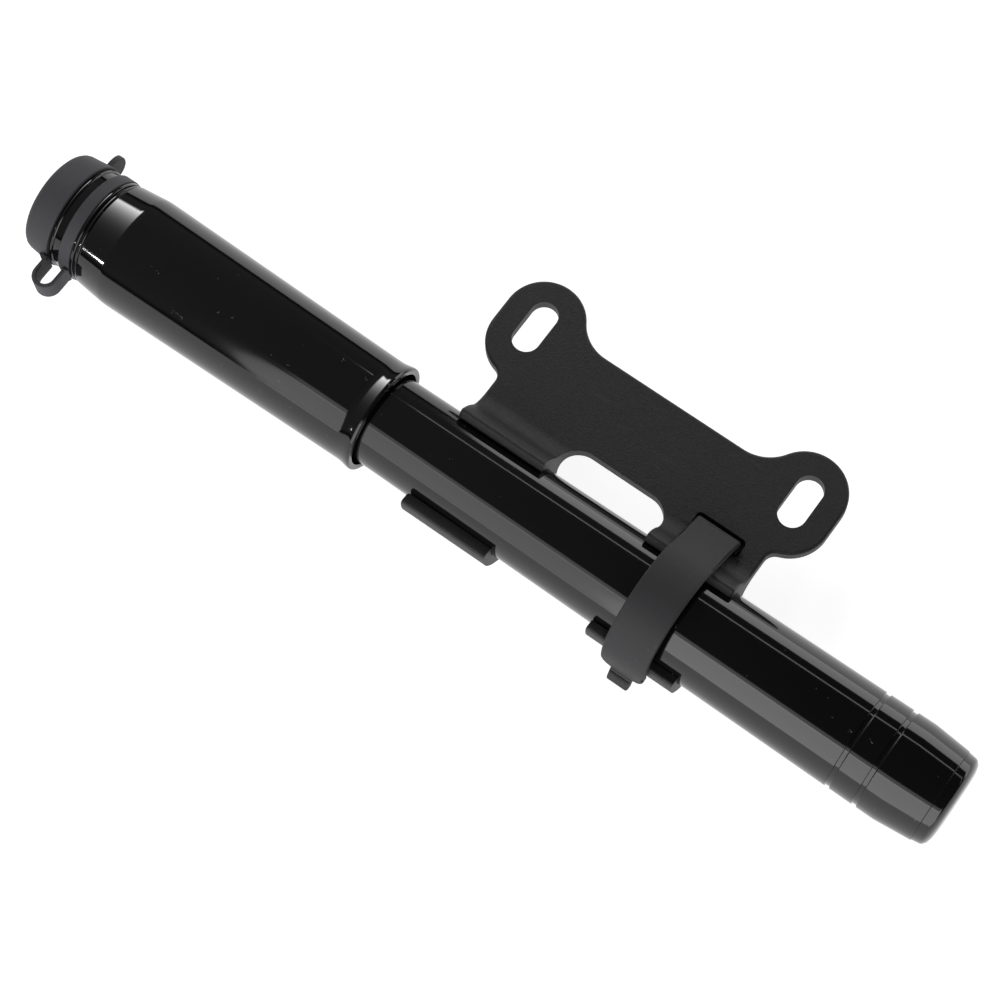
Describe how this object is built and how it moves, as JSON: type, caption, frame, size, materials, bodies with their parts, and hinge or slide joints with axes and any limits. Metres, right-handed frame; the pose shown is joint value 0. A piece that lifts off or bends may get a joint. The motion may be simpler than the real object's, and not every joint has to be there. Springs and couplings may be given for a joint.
{
  "type": "mini pump with frame bracket",
  "caption": "Hand pump for bicycle tyres, clipped and strapped in a bracket that bolts to the frame's bottle bosses, with a rubber cap over its valve head.",
  "frame": {"origin": "midway between the two frame slots, on the back face of the bracket's plate", "axes": "+X along the pump towards its closed end, +Y from the pump to the ears, +Z out of the plate's front"},
  "size_m": [0.2186, 0.062, 0.0272],
  "materials": {
    "bracket_plastic": "satin, fine texture",
    "pump_plastic": "polished",
    "soft_rubber": "matte",
    "seal_rubber": "matte",
    "rod_aluminium": "drawn",
    "plain_steel": "ground",
    "inner_plastic": "moulded"
  },
  "bodies": {
    "bracket": {"bracket": "bracket_plastic"},
    "strap": {"strap": "soft_rubber"},
    "barrel": {"barrel": "pump_plastic", "end_plug": "pump_plastic", "end_plug_seal": "seal_rubber", "guide_bush": "inner_plastic", "guide_seal": "seal_rubber", "stroke_bumper": "seal_rubber"},
    "pump_head": {"sleeve": "pump_plastic", "valve_head": "pump_plastic", "sleeve_seal": "seal_rubber", "check_seat": "inner_plastic", "check_spring": "plain_steel", "chuck_core": "inner_plastic", "chuck_grommet": "seal_rubber", "piston_rod": "rod_aluminium", "rod_nut": "plain_steel", "piston": "inner_plastic", "piston_seal": "seal_rubber", "piston_screw": "plain_steel", "head_band": "soft_rubber", "tether_loop": "soft_rubber"},
    "chuck_nut": {"chuck_nut": "pump_plastic"},
    "check_ball": {"check_ball": "plain_steel"},
    "dust_cap": {"dust_cap": "soft_rubber"}
  },
  "joints": [
    {"name": "clip_slide", "type": "slide", "parent": "bracket", "child": "barrel", "axis": [1, 0, 0], "range_m": [0, 0.0125]},
    {"name": "pump_stroke", "type": "slide", "parent": "barrel", "child": "pump_head", "axis": [-1, 0, 0], "range_m": [0, 0.165]},
    {"name": "cap_swing", "type": "hinge", "parent": "pump_head", "child": "dust_cap", "pos_m": [-0.1197, -0.0485, 0], "axis": [0, 0, 1], "range_deg": [0, 150], "deforming": ["tether_loop"]},
    {"name": "chuck_turn", "type": "hinge", "parent": "pump_head", "child": "chuck_nut", "pos_m": [-0.125, -0.0329, 0], "axis": [-1, 0, 0], "range_deg": [0, 180]},
    {"name": "valve_lift", "type": "slide", "parent": "pump_head", "child": "check_ball", "axis": [-1, 0, 0], "range_m": [0, 0.0007], "stiffness_N_per_m": 30, "deforming": ["check_spring"]},
    {"name": "strap_lift", "type": "hinge", "parent": "bracket", "child": "strap", "pos_m": [0, -0.015, 0.0013], "axis": [-1, 0, 0], "range_deg": [0, 100], "deforming": ["strap"]}
  ]
}
